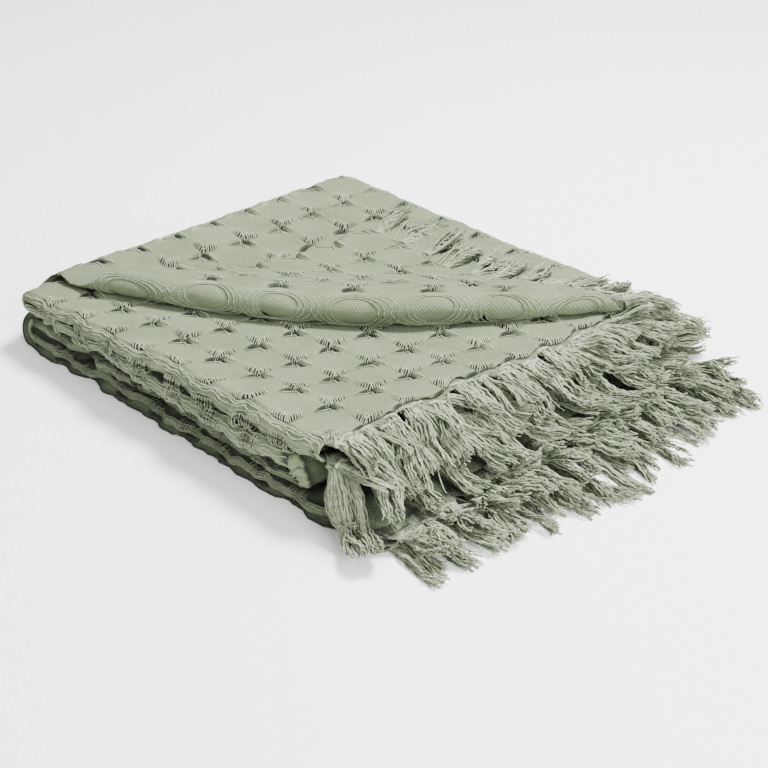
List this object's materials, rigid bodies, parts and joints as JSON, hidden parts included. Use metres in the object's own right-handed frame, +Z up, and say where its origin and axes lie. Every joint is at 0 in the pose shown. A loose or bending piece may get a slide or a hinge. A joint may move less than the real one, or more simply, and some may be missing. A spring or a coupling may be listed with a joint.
{
  "type": "folded throw",
  "caption": "Cotton throw in a puffed honeycomb weave with knotted fringe, folded into a pile, one corner turned back in a roll.",
  "frame": {"origin": "middle of the pile's plan, on the surface that it lies on", "axes": "+X from the folded side towards the fringed side, +Y from the near selvedges towards the far folds, +Z up"},
  "size_m": [0.5878, 0.4758, 0.084],
  "materials": {
    "sage_cotton": "matt woven cotton",
    "sage_yarn": "matt loose cotton yarn"
  },
  "bodies": {
    "root": {"cloth": "sage_cotton", "fringe_floor": "sage_yarn", "fringe_floor_middle": "sage_yarn", "fringe_floor_upper": "sage_yarn", "fringe_top_lower": "sage_yarn", "fringe_top_upper": "sage_yarn", "fringe_turned_back": "sage_yarn"}
  },
  "joints": []
}
